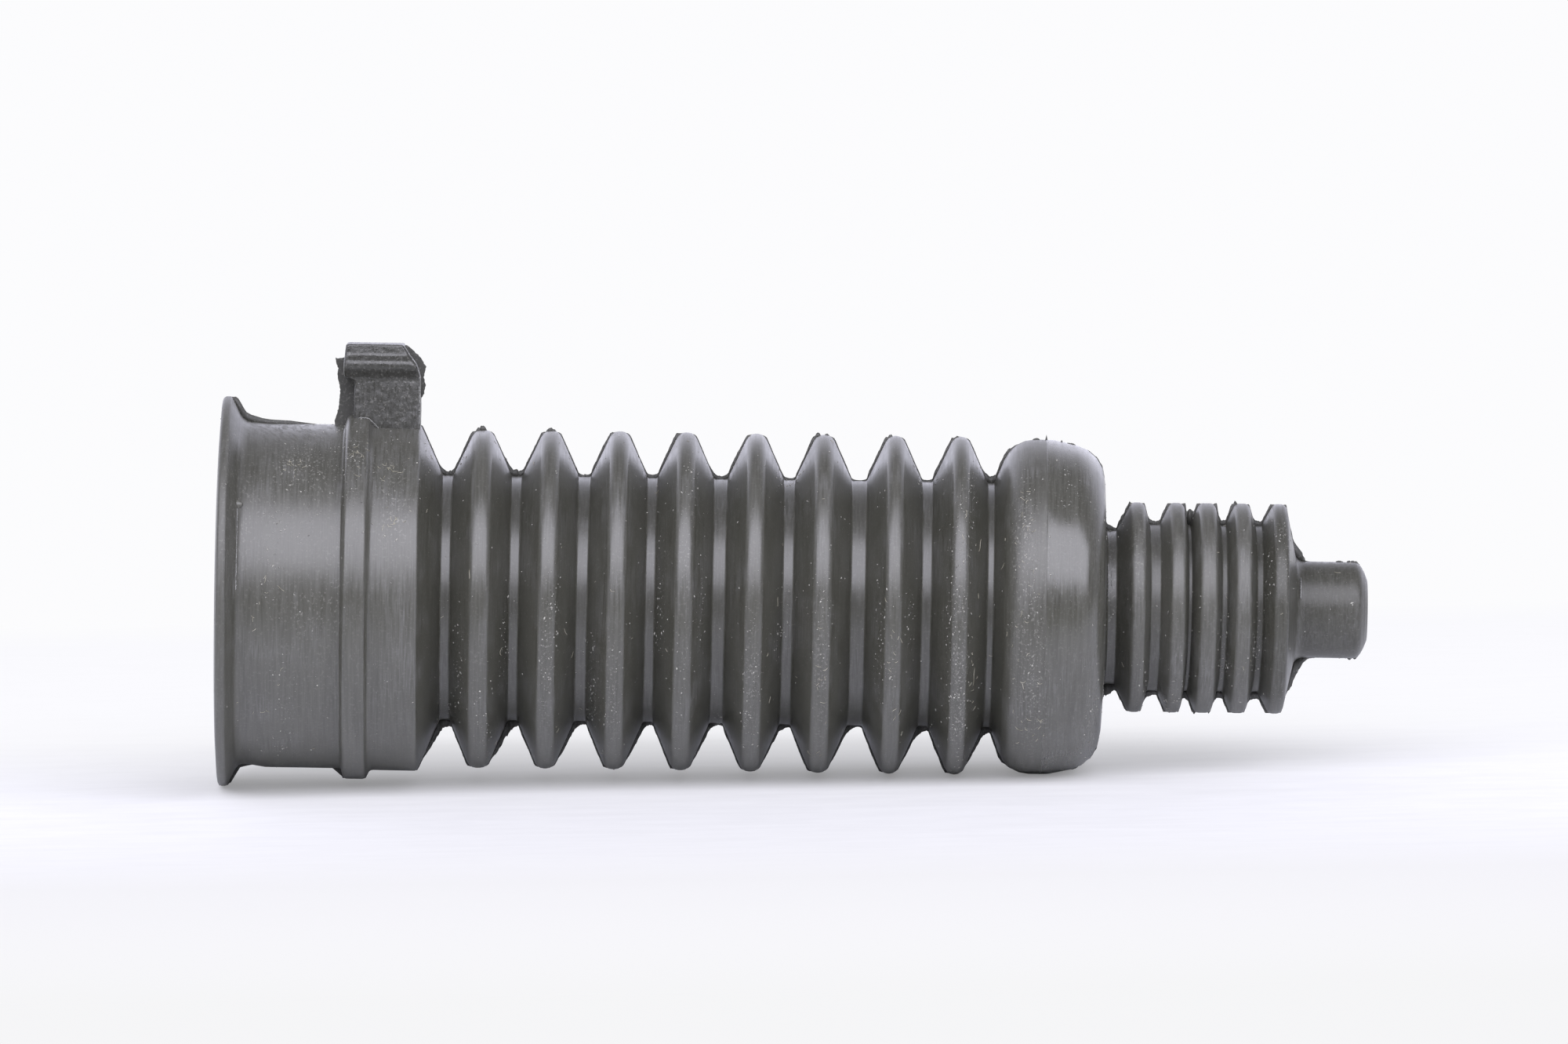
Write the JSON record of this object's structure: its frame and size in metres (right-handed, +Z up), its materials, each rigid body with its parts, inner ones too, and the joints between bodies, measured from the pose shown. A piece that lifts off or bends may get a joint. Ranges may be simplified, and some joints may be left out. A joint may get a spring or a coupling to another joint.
{
  "type": "rubber bellows boot",
  "caption": "One-piece moulded rubber boot: flared wide collar with a lug, large folds, a round barrel, small folds and a plain neck.",
  "frame": {"origin": "centre of the large end's mouth, on the front face of the flared lip", "axes": "+X along the boot's axis from the large end to the neck, +Z up through the lug on the collar"},
  "size_m": [0.2005, 0.068, 0.0781],
  "materials": {
    "rubber": "matt black moulded rubber"
  },
  "bodies": {
    "root": {"bellows_boot": "rubber"}
  },
  "joints": []
}
